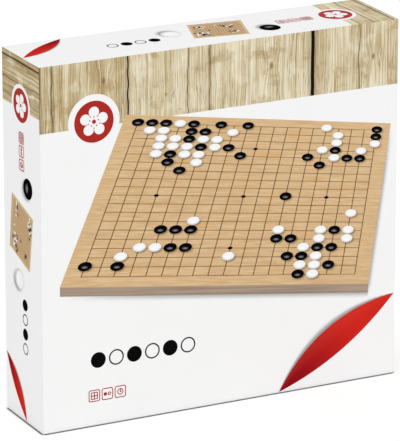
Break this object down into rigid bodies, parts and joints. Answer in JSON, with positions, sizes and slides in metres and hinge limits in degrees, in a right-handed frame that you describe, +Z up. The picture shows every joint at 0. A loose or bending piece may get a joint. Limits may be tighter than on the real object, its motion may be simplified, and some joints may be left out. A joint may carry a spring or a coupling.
{
  "type": "weiqi set",
  "caption": "Weiqi set in a closed rigid telescoping box that stands on its edge, with a wooden board, lidded tubs of stones and a rules booklet inside.",
  "frame": {"origin": "on the standing surface, under the middle of the closed box", "axes": "+Z up, +X along the box's width, -Y out of the printed front, which is the lid's panel; the base's floor faces +Y"},
  "size_m": [0.3, 0.066, 0.285],
  "materials": {
    "greyboard": "uncoated grey pressed board",
    "stay_tape": "gummed kraft paper",
    "printed_paper": "satin laminated print",
    "white_paper": "matt white offset paper",
    "tray_plastic": "vacuum-formed satin white",
    "fibre_core": "raw pressed wood fibre",
    "board_veneer": "satin lacquered light veneer",
    "edge_wood": "satin lacquered brown edge",
    "booklet_cover": "satin coated paper",
    "booklet_paper": "uncoated paper",
    "staple_wire": "bright drawn wire",
    "tub_plastic": "fine satin moulded",
    "black_stone": "polished",
    "white_stone": "polished"
  },
  "bodies": {
    "base": {"base_board": "greyboard", "base_corner_stays": "stay_tape", "base_wrap": "white_paper", "insert_tray": "tray_plastic"},
    "lid": {"lid_board": "greyboard", "lid_corner_stays": "stay_tape", "lid_wrap": "printed_paper"},
    "playing_board": {"board_core": "fibre_core", "board_top_veneer": "board_veneer", "board_bottom_veneer": "board_veneer", "board_edge_strips": "edge_wood"},
    "rules": {"rules_cover": "booklet_cover", "rules_pages": "booklet_paper", "rules_staples": "staple_wire"},
    "black_bowl": {"black_tub": "tub_plastic", "black_stones": "black_stone"},
    "black_bowl_lid": {"black_tub_lid": "tub_plastic"},
    "white_bowl": {"white_tub": "tub_plastic", "white_stones": "white_stone"},
    "white_bowl_lid": {"white_tub_lid": "tub_plastic"}
  },
  "joints": [
    {"name": "lid_lift", "type": "slide", "parent": "base", "child": "lid", "axis": [0, -1, 0], "range_m": [0, 0.32]},
    {"name": "rules_lift", "type": "slide", "parent": "base", "child": "rules", "axis": [0, -1, 0], "range_m": [0, 0.256]},
    {"name": "board_lift", "type": "slide", "parent": "base", "child": "playing_board", "axis": [0, -1, 0], "range_m": [0, 0.192]},
    {"name": "black_tub_lift", "type": "slide", "parent": "base", "child": "black_bowl", "axis": [0, -1, 0], "range_m": [0, 0.064]},
    {"name": "white_tub_lift", "type": "slide", "parent": "base", "child": "white_bowl", "axis": [0, -1, 0], "range_m": [0, 0.064]},
    {"name": "black_tub_lid_lift", "type": "slide", "parent": "black_bowl", "child": "black_bowl_lid", "axis": [0, -1, 0], "range_m": [0, 0.064]},
    {"name": "white_tub_lid_lift", "type": "slide", "parent": "white_bowl", "child": "white_bowl_lid", "axis": [0, -1, 0], "range_m": [0, 0.064]}
  ],
  "couplings": [
    {"joint": "rules_lift", "follows": "lid_lift", "ratio": 0.8},
    {"joint": "board_lift", "follows": "lid_lift", "ratio": 0.6},
    {"joint": "black_tub_lift", "follows": "lid_lift", "ratio": 0.2},
    {"joint": "white_tub_lift", "follows": "lid_lift", "ratio": 0.2},
    {"joint": "black_tub_lid_lift", "follows": "lid_lift", "ratio": 0.2},
    {"joint": "white_tub_lid_lift", "follows": "lid_lift", "ratio": 0.2}
  ]
}
